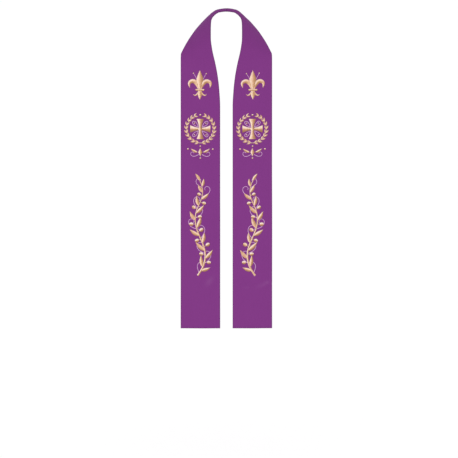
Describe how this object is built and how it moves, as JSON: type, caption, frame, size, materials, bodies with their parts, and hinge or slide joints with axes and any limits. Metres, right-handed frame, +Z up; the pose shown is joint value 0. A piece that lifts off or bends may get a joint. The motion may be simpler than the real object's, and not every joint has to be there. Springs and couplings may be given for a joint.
{
  "type": "clerical stole",
  "caption": "Purple clerical stole worn round an unseen neck: narrow neck band, widening shoulders and straight front panels with an embroidered gold lily and cross.",
  "frame": {"origin": "middle of the wearer's neck, at the height where the cloth rests beside it", "axes": "+Z up along the hanging panels, -Y to the wearer's front, +X to the right of somebody who faces the wearer"},
  "size_m": [0.3296, 0.2291, 1.1413],
  "materials": {
    "purple_cloth": "smooth fine weave with a soft sheen",
    "gold_thread": "glossy satin stitch in gold thread",
    "lilac_thread": "thin running stitch in pale lilac thread"
  },
  "bodies": {
    "root": {"half_left": "purple_cloth", "half_right": "purple_cloth", "lily_left": "gold_thread", "lily_right": "gold_thread", "cross_left": "gold_thread", "cross_right": "gold_thread"}
  },
  "joints": []
}
